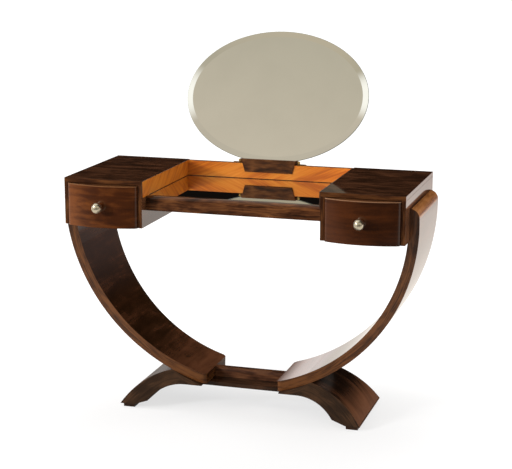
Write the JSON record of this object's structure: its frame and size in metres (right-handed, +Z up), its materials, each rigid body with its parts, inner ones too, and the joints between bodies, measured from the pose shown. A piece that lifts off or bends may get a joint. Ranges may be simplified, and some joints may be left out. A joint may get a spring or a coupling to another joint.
{
  "type": "dressing table",
  "caption": "Dressing table with bow-fronted drawer boxes beside a mirrored well, curved legs on arched feet and a tilting oval mirror.",
  "frame": {"origin": "on the floor, under the middle of the part's bounding box", "axes": "+Z up, +X to the right of someone seated at the table, +Y towards the mirror, so the drawers open towards -Y"},
  "size_m": [1.16, 0.6778, 1.2019],
  "materials": {
    "walnut_veneer": "French polished gloss",
    "dark_walnut": "French polished gloss",
    "orange_birch_lining": "French polished gloss",
    "beech_carcass": "waxed",
    "beech_drawer": "waxed",
    "silvered_glass": "polished",
    "nickel_plate": "polished, slightly worn",
    "steel_screw": "plain",
    "lacquered_brass": "polished, lacquered"
  },
  "bodies": {
    "carcass": {"block_screws": "steel_screw", "bracket_screws": "steel_screw", "cleat_screws": "steel_screw", "foot_pads": "dark_walnut", "foot_screws": "steel_screw", "front_rail": "walnut_veneer", "left_box_back": "beech_carcass", "left_box_bottom": "beech_carcass", "left_box_inner_side": "walnut_veneer", "left_box_outer_side": "walnut_veneer", "left_box_top": "walnut_veneer", "left_foot": "walnut_veneer", "left_leg": "walnut_veneer", "left_well_lining": "orange_birch_lining", "leg_screws": "steel_screw", "mirror_block": "dark_walnut", "pivot_brackets": "lacquered_brass", "plate_screws": "steel_screw", "right_box_back": "beech_carcass", "right_box_bottom": "beech_carcass", "right_box_inner_side": "walnut_veneer", "right_box_outer_side": "walnut_veneer", "right_box_top": "walnut_veneer", "right_foot": "walnut_veneer", "right_leg": "walnut_veneer", "right_well_lining": "orange_birch_lining", "shelf_board": "beech_carcass", "shelf_cleats": "beech_carcass", "shelf_mirror": "silvered_glass", "stretcher_dowels": "beech_carcass", "stretcher_plate": "dark_walnut", "stretcher_rail": "walnut_veneer", "well_back_lining": "orange_birch_lining", "well_back_panel": "beech_carcass"},
    "left_drawer": {"left_drawer_front": "walnut_veneer", "left_drawer_inner_side": "beech_drawer", "left_drawer_outer_side": "beech_drawer", "left_drawer_back": "beech_drawer", "left_drawer_bottom": "beech_drawer", "left_knob": "nickel_plate", "left_knob_screw": "steel_screw"},
    "right_drawer": {"right_drawer_front": "walnut_veneer", "right_drawer_inner_side": "beech_drawer", "right_drawer_outer_side": "beech_drawer", "right_drawer_back": "beech_drawer", "right_drawer_bottom": "beech_drawer", "right_knob": "nickel_plate", "right_knob_screw": "steel_screw"},
    "mirror": {"mirror_glass": "silvered_glass", "mirror_backboard": "beech_carcass", "mirror_cradle": "dark_walnut", "pivot_screws": "lacquered_brass"}
  },
  "joints": [
    {"name": "left_drawer_slide", "type": "slide", "parent": "carcass", "child": "left_drawer", "axis": [0, -1, 0], "range_m": [0, 0.25]},
    {"name": "right_drawer_slide", "type": "slide", "parent": "carcass", "child": "right_drawer", "axis": [0, -1, 0], "range_m": [0, 0.25]},
    {"name": "mirror_tilt", "type": "hinge", "parent": "carcass", "child": "mirror", "pos_m": [0, 0.16458, 0.78224], "axis": [1, 0, 0], "range_deg": [-12, 26]}
  ]
}
